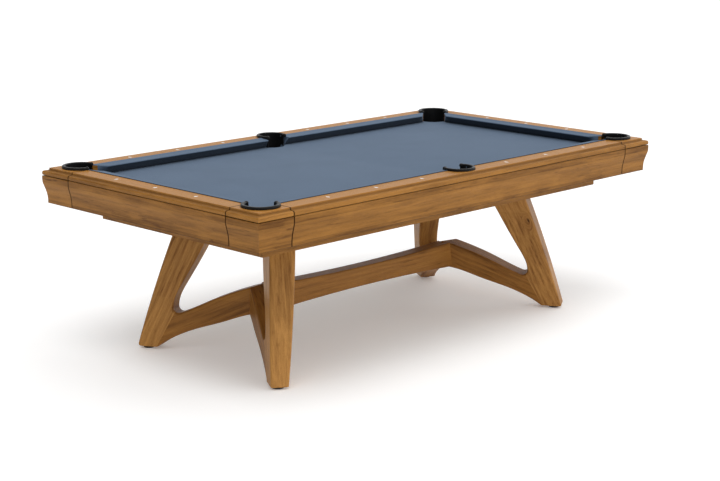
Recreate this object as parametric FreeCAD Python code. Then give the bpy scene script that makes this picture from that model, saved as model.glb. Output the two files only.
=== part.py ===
import FreeCAD, Part

# Eight-foot pool table with drop pockets, an ogee apron and sculpted legs.
# Millimetres. The origin is on the floor under the middle of the table, +X runs along its
# length, +Y across it and +Z up. "front" is -Y, "back" +Y, "left" -X and "right" +X.
import math
import os

Vector = FreeCAD.Vector

# ---- playing surface -----------------------------------------------------------------
NOSE_X = 1117.6            # half the length between the cushion noses
NOSE_Y = 558.8             # half the width between the cushion noses
RAIL_TOP = 837.0           # flat top of the wooden rails
BED_TOP = 794.0            # top of the bed cloth
CLOTH_T = 1.0
SLATE_T = 25.0
SLATE_OUT = 98.0           # slate edge, measured outward from the nose line
SLATE_SEAM = 406.0         # the two seams between the three slates
PLATFORM_T = 18.0          # board under each slate
SLATE_TOP = BED_TOP - CLOTH_T
SLATE_BOTTOM = SLATE_TOP - SLATE_T
PLATFORM_BOTTOM = SLATE_BOTTOM - PLATFORM_T

# ---- rail section, measured outward from the nose line -------------------------------
RUBBER_W = 30.0            # depth of the rubber cushion
WOOD_LINE = 50.0           # where the cloth ends and the bare wood starts
FLAT_EDGE = 134.0          # outer edge of the flat wooden top
NOSE_Z = BED_TOP + 36.5    # height of the cushion nose
FEATHER_SLOT = 2.0         # width of the slot that holds the cloth's edge
FEATHER_DEPTH = 4.0
MOULDING_OUT = FLAT_EDGE + 23.0
MOULDING_BOTTOM = RAIL_TOP - 32.5
RAIL_BASE_OUT = 108.0      # the rail sits on the slate up to here

# ---- apron ---------------------------------------------------------------------------
APRON_IN = 120.0           # flat inner face
APRON_TOP = RAIL_TOP - 33.4
APRON_BOTTOM = 678.0
APRON_FOOT = FLAT_EDGE + 7.8
APRON_FACE = FLAT_EDGE + 23.6
OGEE_LOW_R = 200.0
OGEE_HIGH_R = 70.0
OGEE_START = APRON_BOTTOM + 11.6
OGEE_ANGLE = math.radians(15.6)
CORNER_REVEAL = 1.4        # groove between a corner cap and its apron

# ---- corner joints -------------------------------------------------------------------
JOINT_X = 1086.0
JOINT_Y = 522.0
JOINT_GAP = 4.4
CORNER_FILL = 100.0        # a corner block is solid from this far inside the nose line

# ---- pockets, measured outward from the nose line or the nose corner ------------------
# "open" is where the raised ring stops, and "mouth" and "facing" are the cushion ends below
CORNER_POCKET = {"centre": 53.0, "bore": 64.0, "wall": 68.0, "rim": 80.0, "open": 13.0}
SIDE_POCKET = {"centre": 55.0, "bore": 58.0, "wall": 62.0, "rim": 72.0, "open": 20.0}
POCKET_FLOOR = 700.0
POCKET_FLOOR_T = 4.0
CUP_TOP = SLATE_BOTTOM - 1.0
CUP_ROUND = 18.0
BORE_ROUND = 14.0
RIM_H = 12.0
RIM_ROUND = 5.0
HORN_R = 9.6
HORN_H = 13.5
POCKET_GAP = 0.6
NOTCH_REACH = 220.0        # a notch in the slate runs out past its corner
CUSHION_TRIM = 60.0        # extra length on a cushion, cut off along its end faces
CORNER_MOUTH = 90.0        # from the nose corner to the end of each nose
SIDE_MOUTH = 68.0
CORNER_FACING = 1.28       # how far a cushion end runs on, per unit of depth
SIDE_FACING = 0.25
MOUTH_DEPTH = 50.0         # the mouth narrows from the noses back to here
MOUTH_AHEAD = 20.0         # the cut for it starts this far ahead of the noses

# ---- sights --------------------------------------------------------------------------
SIGHT_HALF_L = 14.0        # a diamond, long across the rail
SIGHT_HALF_W = 6.5
SIGHT_T = 3.0
SIGHT_OUT = 91.0
SIGHT_PITCH_X = 279.4
SIGHT_PITCH_Y = 263.0

# ---- under-frame ---------------------------------------------------------------------
FRAME_X = 1090.0
FRAME_Y = 531.0
FRAME_BOTTOM = 606.0
BOARD_T = 30.0
BOLSTER_X = 745.0
BOLSTER_W = 270.0
BOLSTER_T = 45.0
MEMBER_W = 60.0
MEMBER_BOTTOM = 640.0

# ---- legs ----------------------------------------------------------------------------
FOOT_X = 926.0             # centre of each foot
FOOT_Y = 433.0
BEAM_END_X = 665.0         # where the middle planes of two struts would meet on the floor
LEG_TILT = 5.6             # degrees by which each leg's plane leans towards the middle
FOOT_BOTTOM = 12.0
PLATE_T = 6.0
LEG_TOP = FRAME_BOTTOM - PLATE_T
FOOT_HALF_T = 39.0         # half thickness at the foot, half way up and at the top
MIDDLE_HALF_T = 52.0
TOP_HALF_T = 57.0
LEG_ROUND = 11.0
TRIM = 8.0                 # extra length on a leg, cut level after it is tilted
BEAM_HALF_W = 38.0
BEAM_TRIM_X = 640.0        # half the beam's length before its ends are cut
BEAM_ROUND = 7.0
BEAM_CUT_Z = 252.0         # half way up the beam's ends
BEAM_CUT_HALF_T = 50.4     # half thickness of a strut there
BEAM_CUT_LEAN = 2.0        # degrees by which a strut's face leans there as it thickens
DOWEL_R = 6.0
DOWEL_HALF_L = 30.0
KNEE_DOWEL_HALF_L = 18.0
KNEE_FOOT = (47.0, FOOT_BOTTOM - TRIM)   # the joint between upright and strut runs from here
KNEE_TOP = (138.0, 175.0)                # up to here, in the leg's own plane
BEAM_JOINT_X = 590.0       # where the struts' inner faces meet the beam, at the dowels
BEAM_DOWEL_Y = 20.0

# ---- fixings and feet ----------------------------------------------------------------
STUD_R = 5.0
INSERT_R = 7.0
INSERT_L = 40.0
PAD_R = 25.0
PAD_T = 7.0
STUD_TOP = 62.0
LEVEL_ROOM = 90.0          # top of the hole above the stud
BOLT_R = 4.0
RAIL_BOLT_R = 4.8
SCREW_R = 3.0
HOLE_PLAY = 0.4

SIDES = {"front": -90.0, "back": 90.0, "left": 180.0, "right": 0.0}
BEYOND = 1600.0            # past every edge of the table
OVERCUT = 5.0              # cuts run this far past the faces they open
CORNERS = {"front_left": (-1, -1), "front_right": (1, -1), "back_left": (-1, 1), "back_right": (1, 1)}


def save(name, shape):
    """Write one named piece."""
    shape.exportStep(f"parts/{name}.step")


def box(low, high):
    """A box between two corners."""
    size = [high[i] - low[i] for i in range(3)]
    return Part.makeBox(size[0], size[1], size[2], Vector(*low))


def rod(radius, start, end):
    """A cylinder from one point to another."""
    axis = Vector(*end) - Vector(*start)
    return Part.makeCylinder(radius, axis.Length, Vector(*start), axis)


def face(start, steps):
    """A closed outline in the XZ plane.

    Each step goes on from the last point: one point is a line, two are an arc through the
    first to the second, and more are a smooth curve through them all.
    """
    here = Vector(start[0], 0, start[1])
    first = here
    edges = []
    for step in steps:
        points = [Vector(a, 0, z) for a, z in step]
        if len(points) == 1:
            edges.append(Part.makeLine(here, points[0]))
        elif len(points) == 2:
            edges.append(Part.Arc(here, points[0], points[1]).toShape())
        else:
            curve = Part.BSplineCurve()
            curve.interpolate([here] + points)
            edges.append(curve.toShape())
        here = points[-1]
    if (here - first).Length > 0.001:
        edges.append(Part.makeLine(here, first))
    return Part.Face(Part.Wire(edges))


def nose_distance(side):
    """How far a side's nose line is from the middle of the table."""
    return NOSE_Y if side in ("front", "back") else NOSE_X


def run(profile, side, low, high):
    """Stretch a section along one side of the table.

    The section's first coordinate is measured outward from the nose line. low and high are
    places along +X for the front and back, and along +Y for the left and right.
    """
    if side in ("back", "left"):
        low, high = -high, -low
    solid = profile.extrude(Vector(0, high - low, 0))
    solid.translate(Vector(nose_distance(side), low, 0))
    solid.rotate(Vector(0, 0, 0), Vector(0, 0, 1), SIDES[side])
    return solid


def mirrored(shape, signs):
    """Mirror a piece of the back right corner into another corner."""
    for sign, normal in zip(signs, (Vector(1, 0, 0), Vector(0, 1, 0))):
        if sign < 0:
            shape = shape.mirror(Vector(0, 0, 0), normal)
    return shape


def cut_all(shape, cutters):
    """Take several solids out of a shape."""
    return shape.cut(Part.makeCompound(cutters))


# ---- pockets -------------------------------------------------------------------------
def pocket_places():
    """Each pocket's name, its kind, the point it is measured from and its outward angle."""
    places = []
    for corner, (sx, sy) in CORNERS.items():
        angle = math.degrees(math.atan2(sy, sx))
        places.append((corner, CORNER_POCKET, Vector(sx * NOSE_X, sy * NOSE_Y, 0), angle))
    for side, sy in (("front", -1), ("back", 1)):
        places.append((f"{side}_centre", SIDE_POCKET, Vector(0, sy * NOSE_Y, 0), sy * 90.0))
    return places


def placed(shape, origin, angle):
    """Move a pocket shape from its own frame, where +X points outward."""
    shape.rotate(Vector(0, 0, 0), Vector(0, 0, 1), angle)
    shape.translate(origin)
    return shape


def disc_beyond(radius, centre, start, low, high):
    """The part of a disc about the pocket's centre that lies further out than the start."""
    disc = Part.makeCylinder(radius, high - low, Vector(centre, 0, low))
    return disc.common(box((start, -radius, low), (centre + radius, radius, high)))


def pocket_liner(kind):
    """A moulded rubber pocket: cup, back wall, raised ring and a rounded horn at each end."""
    centre, bore, wall, rim, start = (kind[k] for k in ("centre", "bore", "wall", "rim", "open"))
    cup = Part.makeCylinder(wall, CUP_TOP - POCKET_FLOOR, Vector(centre, 0, POCKET_FLOOR))
    cup = cup.makeFillet(CUP_ROUND, [cup.Edges[2]])
    back = disc_beyond(wall, centre, centre, CUP_TOP, RAIL_TOP)
    sides = disc_beyond(wall, centre, start, BED_TOP + 1.0, RAIL_TOP)
    ring = disc_beyond(rim, centre, start, RAIL_TOP, RAIL_TOP + RIM_H)
    inside = POCKET_FLOOR + POCKET_FLOOR_T
    hollow = Part.makeCylinder(bore, RAIL_TOP + RIM_H - POCKET_FLOOR, Vector(centre, 0, inside))
    hollow = hollow.makeFillet(BORE_ROUND, [hollow.Edges[2]])
    solid = cup.fuse([back, sides, ring]).cut(hollow).removeSplitter()
    solid = solid.makeFillet(RIM_ROUND, rim_edges(solid))
    across = math.sqrt(((bore + rim) / 2.0) ** 2 - (centre - start) ** 2)
    for side in (-1, 1):
        horn = Part.makeCylinder(HORN_R, HORN_H, Vector(start, side * across, RAIL_TOP))
        solid = solid.fuse(horn.makeFillet(HORN_R * 0.8, [horn.Edges[0]]))
    return solid.removeSplitter()


def rim_edges(solid):
    """The top outer and inner edges of a pocket's ring."""
    top = RAIL_TOP + RIM_H
    found = []
    for edge in solid.Edges:
        flat = abs(edge.BoundBox.ZMin - top) < 0.01 and abs(edge.BoundBox.ZMax - top) < 0.01
        if flat and edge.BoundBox.XLength > 10.0:
            found.append(edge)
    return found


def mouth_point(kind, depth):
    """A point of the mouth's edge at a depth behind the noses, in the pocket's own frame."""
    if kind is CORNER_POCKET:
        away = CORNER_MOUTH - CORNER_FACING * depth
        return Vector((depth - away) * math.sqrt(0.5), (depth + away) * math.sqrt(0.5), 0)
    return Vector(depth, SIDE_MOUTH - SIDE_FACING * depth, 0)


def pocket_cut(kind, low, high):
    """What the rails and caps leave free for a pocket's wall and its mouth."""
    disc = Part.makeCylinder(kind["wall"] + POCKET_GAP, high - low, Vector(kind["centre"], 0, low))
    near = mouth_point(kind, -MOUTH_AHEAD)
    far = mouth_point(kind, MOUTH_DEPTH)
    points = [Vector(p.x, side * p.y, low) for p, side in ((near, 1), (far, 1), (far, -1), (near, -1))]
    mouth = Part.Face(Part.makePolygon(points + [points[0]])).extrude(Vector(0, 0, high - low))
    return disc.fuse(mouth)


def bed_cut(kind, low, high):
    """The round notch in the slate, cloth and board, open to the outside."""
    radius = kind["wall"] + POCKET_GAP
    disc = Part.makeCylinder(radius, high - low, Vector(kind["centre"], 0, low))
    return disc.fuse(box((kind["centre"], -radius, low), (NOTCH_REACH, radius, high)))


def pocket_cuts():
    """Every pocket's clearance in the rails, for use with cut_all."""
    cuts = []
    for _, kind, origin, angle in pocket_places():
        cuts.append(placed(pocket_cut(kind, BED_TOP - OVERCUT, RAIL_TOP + OVERCUT), origin, angle))
    return cuts


def bed_cuts():
    """Every pocket's notch in the cloth, the slates and the boards under them."""
    cuts = []
    for _, kind, origin, angle in pocket_places():
        cuts.append(placed(bed_cut(kind, PLATFORM_BOTTOM - OVERCUT, BED_TOP + OVERCUT), origin, angle))
    return cuts


# ---- rail, moulding and apron sections ------------------------------------------------
def rail_section(inner=RUBBER_W):
    """The wooden rail: the part under the cloth, the flat top, a step and a bullnose."""
    slot = WOOD_LINE - FEATHER_SLOT
    steps = [[(inner, RAIL_TOP - 2.0)],
             [(slot, RAIL_TOP - 1.0)],
             [(slot, RAIL_TOP - 1.0 - FEATHER_DEPTH)],
             [(WOOD_LINE, RAIL_TOP - 1.0 - FEATHER_DEPTH)],
             [(WOOD_LINE, RAIL_TOP)]]
    return face((inner, BED_TOP), steps + moulding_steps())


def cap_section(inner):
    """The corner cap: the same moulding with a plain flat top."""
    return face((inner, BED_TOP), [[(inner, RAIL_TOP)]] + moulding_steps())


def moulding_steps():
    """From the flat top round the step and the bullnose, and back under the rail."""
    edge = FLAT_EDGE
    top = RAIL_TOP
    out = MOULDING_OUT
    return [[(edge - 1.6, top)],
            [(edge - 0.5, top - 0.5), (edge, top - 1.6)],
            [(edge, top - 5.5)],
            [(edge + 2.0, top - 9.6), (edge + 6.5, top - 11.4)],
            [(edge + 14.5, top - 12.0)],
            [(out - 2.5, top - 14.6), (out, top - 20.5)],
            [(out, top - 27.5)],
            [(out - 1.0, top - 31.0), (out - 4.0, MOULDING_BOTTOM)],
            [(RAIL_BASE_OUT, MOULDING_BOTTOM)],
            [(RAIL_BASE_OUT, BED_TOP)]]


def apron_section(inner=APRON_IN, top=APRON_TOP):
    """The apron board: a flat back and an ogee face that narrows towards the bottom."""
    half = OGEE_ANGLE / 2.0
    sine = math.sin(OGEE_ANGLE)
    cosine = math.cos(OGEE_ANGLE)
    low_out = OGEE_LOW_R * (1.0 - cosine)
    low_up = OGEE_LOW_R * sine
    high_out = OGEE_HIGH_R * (1.0 - cosine)
    high_up = OGEE_HIGH_R * sine
    slope_out = APRON_FACE - APRON_FOOT - low_out - high_out
    slope_up = slope_out / math.tan(OGEE_ANGLE)
    a1 = APRON_FOOT + low_out
    z1 = OGEE_START + low_up
    a2 = a1 + slope_out
    z2 = z1 + slope_up
    low_middle = (APRON_FOOT + OGEE_LOW_R * (1.0 - math.cos(half)), OGEE_START + OGEE_LOW_R * math.sin(half))
    high_middle = (a2 + OGEE_HIGH_R * (math.cos(half) - cosine), z2 + OGEE_HIGH_R * (sine - math.sin(half)))
    steps = [[(APRON_FOOT - 1.5, APRON_BOTTOM)],
             [(APRON_FOOT - 0.4, APRON_BOTTOM + 0.4), (APRON_FOOT, APRON_BOTTOM + 1.5)],
             [(APRON_FOOT, OGEE_START)],
             [low_middle, (a1, z1)],
             [(a2, z2)],
             [high_middle, (APRON_FACE, z2 + high_up)],
             [(APRON_FACE, top - 3.0)],
             [(APRON_FACE - 0.9, top - 0.9), (APRON_FACE - 3.0, top)],
             [(inner, top)]]
    return face((inner, APRON_BOTTOM), steps)


def cushion_section():
    """The rubber under the cloth: a rounded nose, a sloping underside and a flat back."""
    steps = [[(RUBBER_W, RAIL_TOP - 2.2)],
             [(4.0, NOSE_Z + 2.8)],
             [(0.0, NOSE_Z), (4.0, NOSE_Z - 3.0)],
             [(23.0, BED_TOP + 3.5)]]
    return face((RUBBER_W, BED_TOP + 3.0), steps)


def rails_and_aprons(bores):
    """The four rails and the four aprons between the corner pieces."""
    cuts = pocket_cuts()
    for side in SIDES:
        end = (JOINT_X if side in ("front", "back") else JOINT_Y) - JOINT_GAP / 2.0
        rail = run(rail_section(), side, -end, end)
        save(f"rail_{side}", cut_all(rail, cuts + bores))
        save(f"apron_{side}", run(apron_section(), side, -end, end))


def corner_block(section, inner):
    """One mitred corner from a section: both sides meet, and the middle is left out."""
    long_side = run(section, "back", 0.0, BEYOND)
    short_side = run(section, "right", 0.0, BEYOND)
    gap = JOINT_GAP / 2.0
    zone = box((JOINT_X + gap, JOINT_Y + gap, 0.0), (BEYOND, BEYOND, BEYOND))
    middle = box((0.0, 0.0, 0.0), (NOSE_X + inner, NOSE_Y + inner, BEYOND))
    return long_side.common(short_side).common(zone).cut(middle)


def mitre_halves(block):
    """A corner piece cut in two along the mitre that runs out from the nose corner."""
    reach = NOSE_X / 2.0
    low = Vector(NOSE_X - reach, NOSE_Y - reach, 0)
    high = Vector(NOSE_X + reach, NOSE_Y + reach, 0)
    outline = Part.makePolygon([low, high, Vector(low.x, high.y, 0), low])
    one_side = Part.Face(outline).extrude(Vector(0, 0, BEYOND))
    return Part.makeCompound([block.common(one_side), block.cut(one_side)])


def corners():
    """The four mitred corner caps, cut for their pockets, and the four corner aprons."""
    cap = corner_block(cap_section(-CORNER_FILL), WOOD_LINE)
    _, kind, origin, angle = pocket_places()[3]
    cap = cap.cut(placed(pocket_cut(kind, BED_TOP - OVERCUT, RAIL_TOP + OVERCUT), origin, angle))
    cap = mitre_halves(cap)
    skirt = corner_block(apron_section(-CORNER_FILL, APRON_TOP - CORNER_REVEAL), APRON_IN)
    for name, signs in CORNERS.items():
        save(f"corner_cap_{name}", mirrored(cap, signs))
        save(f"corner_apron_{name}", mirrored(skirt, signs))


# ---- cushions ------------------------------------------------------------------------
def cushion_plan(side, low, high, low_slope, high_slope):
    """The plan of a cushion: its ends run on with depth to meet the pockets."""
    deep = RUBBER_W + 5.0
    spots = [(-5.0, low + 5.0 * low_slope), (deep, low - deep * low_slope),
             (deep, high + deep * high_slope), (-5.0, high - 5.0 * high_slope)]
    points = [Vector(a, along, BED_TOP) for a, along in spots]
    plan = Part.Face(Part.makePolygon(points + [points[0]])).extrude(Vector(0, 0, 60.0))
    if side in ("back", "left"):
        plan = plan.mirror(Vector(0, 0, 0), Vector(0, 1, 0))
    plan.translate(Vector(nose_distance(side), 0, 0))
    plan.rotate(Vector(0, 0, 0), Vector(0, 0, 1), SIDES[side])
    return plan


def cushions():
    """Two cushions on each long side and one at each end."""
    long_end = NOSE_X - CORNER_MOUTH
    short_end = NOSE_Y - CORNER_MOUTH
    spans = {"left": ("left", -short_end, short_end, CORNER_FACING, CORNER_FACING),
             "right": ("right", -short_end, short_end, CORNER_FACING, CORNER_FACING)}
    for side in ("front", "back"):
        spans[f"{side}_left"] = (side, -long_end, -SIDE_MOUTH, CORNER_FACING, SIDE_FACING)
        spans[f"{side}_right"] = (side, SIDE_MOUTH, long_end, SIDE_FACING, CORNER_FACING)
    for name, (side, low, high, low_slope, high_slope) in spans.items():
        bar = run(cushion_section(), side, low - CUSHION_TRIM, high + CUSHION_TRIM)
        save(f"cushion_{name}", bar.common(cushion_plan(side, low, high, low_slope, high_slope)))


# ---- bed -----------------------------------------------------------------------------
def flat_board(x_out, y_out, low, high):
    """A board over the whole bed, between two heights."""
    return box((-x_out, -y_out, low), (x_out, y_out, high))


def bed(bores):
    """Three slates, a board under each of them, and the cloth over them all."""
    cuts = bed_cuts()
    x_out = NOSE_X + SLATE_OUT
    y_out = NOSE_Y + SLATE_OUT
    reach = APRON_IN - 0.2
    slates = cut_all(flat_board(x_out, y_out, SLATE_BOTTOM, SLATE_TOP), cuts + bores)
    boards = flat_board(NOSE_X + reach, NOSE_Y + reach, PLATFORM_BOTTOM, SLATE_BOTTOM)
    boards = cut_all(boards, cuts + bores)
    seam = SLATE_SEAM
    spans = {"left": (-BEYOND, -seam), "centre": (-seam, seam), "right": (seam, BEYOND)}
    backing = []
    for name, (low, high) in spans.items():
        zone = box((low, -BEYOND, PLATFORM_BOTTOM), (high, BEYOND, SLATE_TOP))
        save(f"slate_{name}", slates.common(zone))
        backing.append(boards.common(zone))
    save("slate_platform", Part.makeCompound(backing))
    cloth = flat_board(x_out - 2.0, y_out - 2.0, SLATE_TOP, BED_TOP)
    save("bed_cloth", cut_all(cloth, cuts + rail_bolt_holes()))


def pockets():
    """Six rubber pockets."""
    for name, kind, origin, angle in pocket_places():
        save(f"pocket_{name}", placed(pocket_liner(kind), origin, angle))


def sight_places():
    """Where the sights are let into the rail tops."""
    places = []
    for sign in (-1, 1):
        for step in (-3, -2, -1, 1, 2, 3):
            places.append((step * SIGHT_PITCH_X, sign * (NOSE_Y + SIGHT_OUT)))
        for step in (-1, 0, 1):
            places.append((sign * (NOSE_X + SIGHT_OUT), step * SIGHT_PITCH_Y))
    return places


def sight_inlays():
    """A diamond at every sight, let into the rail top with its long way across the rail."""
    solids = []
    for x, y in sight_places():
        on_end = abs(x) > NOSE_X
        reach_x = SIGHT_HALF_L if on_end else SIGHT_HALF_W
        reach_y = SIGHT_HALF_W if on_end else SIGHT_HALF_L
        base = RAIL_TOP - SIGHT_T
        points = [Vector(x + reach_x, y, base), Vector(x, y + reach_y, base),
                  Vector(x - reach_x, y, base), Vector(x, y - reach_y, base)]
        outline = Part.Face(Part.makePolygon(points + [points[0]]))
        solids.append(outline.extrude(Vector(0, 0, SIGHT_T)))
    return solids


# ---- screws and bolts ----------------------------------------------------------------
def rail_bolt_places():
    """Bolts that pull the rails down onto the slate."""
    out = 75.0
    places = [(x, sy * (NOSE_Y + out)) for sy in (-1, 1) for x in (-910, -560, -210, 210, 560, 910)]
    places += [(sx * (NOSE_X + out), y) for sx in (-1, 1) for y in (-330, 0, 330)]
    return places


def rail_bolts():
    """Each bolt with its washer, driven up from under the platform."""
    solids = []
    for x, y in rail_bolt_places():
        low = PLATFORM_BOTTOM
        shank = rod(RAIL_BOLT_R, (x, y, low - 2.0), (x, y, RAIL_TOP - 18.0))
        washer = rod(13.0, (x, y, low - 2.0), (x, y, low))
        head = rod(8.0, (x, y, low - 8.0), (x, y, low - 2.0))
        solids.append(shank.fuse([washer, head]).removeSplitter())
    return solids


def rail_bolt_holes():
    """Clearance for the rail bolts."""
    radius = RAIL_BOLT_R + HOLE_PLAY
    low = PLATFORM_BOTTOM - 1.0
    return [rod(radius, (x, y, low), (x, y, RAIL_TOP - 17.0)) for x, y in rail_bolt_places()]


def slate_screw_places():
    """Screws through the slates into the long boards of the under-frame."""
    edge = 40.0
    ends = (SLATE_SEAM - edge, SLATE_SEAM + edge, FRAME_X - edge)
    y = FRAME_Y - BOARD_T / 2.0
    return [(sx * x, sy * y) for sx in (-1, 1) for sy in (-1, 1) for x in ends]


def slate_screw(x, y, extra=0.0):
    """A countersunk screw; extra widens it into its hole."""
    top = SLATE_TOP - 0.5
    shank = rod(SCREW_R + extra, (x, y, PLATFORM_BOTTOM - 40.0 - extra), (x, y, top - 4.0))
    head = Part.makeCone(SCREW_R + extra, 2.2 * SCREW_R + extra, 4.0, Vector(x, y, top - 4.0))
    solid = shank.fuse(head)
    if extra > 0.0:
        solid = solid.fuse(rod(2.2 * SCREW_R + extra, (x, y, top), (x, y, SLATE_TOP + 0.2)))
    return solid.removeSplitter()


def slate_screws(extra=0.0):
    """Every slate screw, or its hole."""
    return [slate_screw(x, y, extra) for x, y in slate_screw_places()]


# ---- under-frame ---------------------------------------------------------------------
def under_frame(screw_holes, leg_holes):
    """Four boards, two leg bolsters and a middle cross member."""
    inner_x = FRAME_X - BOARD_T
    inner_y = FRAME_Y - BOARD_T
    top = PLATFORM_BOTTOM
    for side, sign in (("front", -1), ("back", 1)):
        low, high = sorted((sign * inner_y, sign * FRAME_Y))
        board = box((-FRAME_X, low, FRAME_BOTTOM), (FRAME_X, high, top))
        save(f"frame_board_{side}", cut_all(board, screw_holes))
    for side, sign in (("left", -1), ("right", 1)):
        low, high = sorted((sign * inner_x, sign * FRAME_X))
        save(f"frame_board_{side}", box((low, -inner_y, FRAME_BOTTOM), (high, inner_y, top)))
        middle = sign * BOLSTER_X
        half = BOLSTER_W / 2.0
        bolster_top = FRAME_BOTTOM + BOLSTER_T
        bolster = box((middle - half, -inner_y, FRAME_BOTTOM), (middle + half, inner_y, bolster_top))
        save(f"leg_bolster_{side}", cut_all(bolster, leg_holes))
    half = MEMBER_W / 2.0
    save("cross_member", box((-half, -inner_y, MEMBER_BOTTOM), (half, inner_y, top)))


# ---- legs ----------------------------------------------------------------------------
def leg_angle():
    """Direction of the back right leg in plan, from its foot to the end of the beam."""
    return math.degrees(math.atan2(-FOOT_Y, BEAM_END_X - FOOT_X))


def upright_place(shape, height=0.0):
    """Turn a shape into the back right leg's direction, over the foot.

    Its own +X runs from the foot towards the end of the beam. It stays upright, and is moved
    to where the tilted leg stands at the given height.
    """
    shape.translate(Vector(0, -height * math.tan(math.radians(LEG_TILT)), 0))
    shape.rotate(Vector(0, 0, 0), Vector(0, 0, 1), leg_angle())
    shape.translate(Vector(FOOT_X, FOOT_Y, 0))
    return shape


def leg_place(shape):
    """Tilt a shape from the leg's own plane and place it over the back right foot."""
    shape.rotate(Vector(0, 0, 0), Vector(1, 0, 0), LEG_TILT)
    return upright_place(shape)


def thickness_solid():
    """The leg seen on edge: slim at the foot and fuller towards the top."""
    low = FOOT_BOTTOM - TRIM
    high = LEG_TOP + TRIM
    half_up = (low + high) / 2.0
    outline = face((-FOOT_HALF_T, low),
                   [[(-MIDDLE_HALF_T, half_up), (-TOP_HALF_T, high)],
                    [(TOP_HALF_T, high)],
                    [(MIDDLE_HALF_T, half_up), (FOOT_HALF_T, low)]])
    solid = outline.extrude(Vector(0, BEYOND, 0))
    solid.translate(Vector(0, -BEYOND / 4.0, 0))
    solid.rotate(Vector(0, 0, 0), Vector(0, 0, 1), -90.0)
    return solid


def upright_outline():
    """The upright: a straight lean outside, a curved inside and the foot."""
    return face((-26.0, FOOT_BOTTOM - TRIM),
                [[(-37.0, 10.0), (-40.0, 22.0)],
                 [(43.0, 294.0), (154.0, LEG_TOP + TRIM)],
                 [(341.0, LEG_TOP + TRIM)],
                 [(279.0, 502.0), (217.0, 388.0), (158.0, 286.0), (135.0, 238.0), (128.0, 200.0)],
                 [(130.0, 185.0), KNEE_TOP],
                 [KNEE_FOOT]])


def strut_outline():
    """The strut: from the foot up to the end of the beam, in two long curves."""
    return face(KNEE_FOOT,
                [[KNEE_TOP],
                 [(148.0, 171.0), (160.0, 172.0)],
                 [(215.0, 195.0), (305.0, 238.0), (430.0, 289.0), (504.0, 313.0), (575.0, 329.0)],
                 [(575.0, 190.0)],
                 [(500.0, 187.0), (365.0, 144.0), (245.0, 106.0), (130.0, 58.0), KNEE_FOOT]])


def rounded(slab, radius):
    """Round a leg slab's long edges and leave its joint faces sharp."""
    edges = []
    for edge in slab.Edges:
        middle = edge.valueAt((edge.FirstParameter + edge.LastParameter) / 2.0)
        box_ = edge.BoundBox
        on_joint = abs(knee_offset(middle)) < 0.5
        on_end = box_.XLength < 1.0 or box_.ZLength < 1.0
        if abs(middle.y) > FOOT_HALF_T - 5.0 and not on_joint and not on_end:
            edges.append(edge)
    return slab.makeFillet(radius, edges)


def knee_offset(point):
    """Distance of a point from the joint between the upright and the strut."""
    run_x = KNEE_TOP[0] - KNEE_FOOT[0]
    run_z = KNEE_TOP[1] - KNEE_FOOT[1]
    cross = (point.x - KNEE_FOOT[0]) * run_z - (point.z - KNEE_FOOT[1]) * run_x
    return cross / math.hypot(run_x, run_z)


def leg_slab(outline):
    """A leg outline given its tapering thickness and rounded edges, tilted and trimmed."""
    slab = outline.extrude(Vector(0, 4.0 * TOP_HALF_T, 0))
    slab.translate(Vector(0, -2.0 * TOP_HALF_T, 0))
    slab = rounded(slab.common(thickness_solid()), LEG_ROUND)
    return leg_place(slab).common(box((0, -BEYOND, FOOT_BOTTOM), (BEYOND, BEYOND, LEG_TOP)))


def dowel_places():
    """Dowels across the joint between the upright and the strut, in the leg's own plane."""
    foot = Vector(KNEE_FOOT[0], 0, KNEE_FOOT[1])
    direction = (Vector(KNEE_TOP[0], 0, KNEE_TOP[1]) - foot).normalize()
    normal = Vector(direction.z, 0, -direction.x)
    spots = []
    for along in (80.0, 140.0):
        middle = foot + direction * along
        spots.append((middle - normal * KNEE_DOWEL_HALF_L, middle + normal * KNEE_DOWEL_HALF_L))
    return spots


def beam_dowel_places():
    """Dowels from a strut into the end of the beam, along the beam."""
    spots = []
    for z in (222.0, 278.0):
        middle = Vector(BEAM_JOINT_X, BEAM_DOWEL_Y, z)
        spots.append((middle - Vector(DOWEL_HALF_L, 0, 0), middle + Vector(DOWEL_HALF_L, 0, 0)))
    return spots


def dowels(extra=0.0):
    """All the dowels of the back right leg, or their holes."""
    solids = []
    for start, end in dowel_places():
        reach = (end - start).normalize() * extra
        solids.append(leg_place(rod(DOWEL_R + extra / 2.0, start - reach, end + reach)))
    for start, end in beam_dowel_places():
        reach = (end - start).normalize() * extra
        solids.append(rod(DOWEL_R + extra / 2.0, start - reach, end + reach))
    return solids


def leg_bolt_places():
    """Four bolts through each leg plate, in the leg's own plane."""
    return [(s, t) for s in (200.0, 306.0) for t in (-32.0, 32.0)]


def leg_bolts(extra=0.0):
    """Coach screws up from the leg, through the plate and into the bolster."""
    solids = []
    for s, t in leg_bolt_places():
        top = FRAME_BOTTOM + BOLSTER_T
        shank = rod(BOLT_R + extra, (s, t, LEG_TOP - 50.0 - extra), (s, t, top + 1.5))
        head = rod(8.0, (s, t, top), (s, t, top + 6.0))
        solid = shank if extra > 0.0 else shank.fuse(head).removeSplitter()
        solids.append(upright_place(solid, LEG_TOP))
    return solids


def leveller():
    """A foot pad with its cone and threaded stud."""
    pad = rod(PAD_R, (0, 0, 0), (0, 0, PAD_T))
    pad = pad.makeFillet(2.0, [pad.Edges[0], pad.Edges[2]])
    cone = Part.makeCone(PAD_R - 9.0, STUD_R + 4.0, FOOT_BOTTOM - PAD_T - 1.0, Vector(0, 0, PAD_T))
    stud = rod(STUD_R, (0, 0, PAD_T - 2.0), (0, 0, STUD_TOP))
    solid = pad.fuse([cone, stud]).removeSplitter()
    solid.translate(Vector(FOOT_X, FOOT_Y, 0))
    return solid


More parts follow.
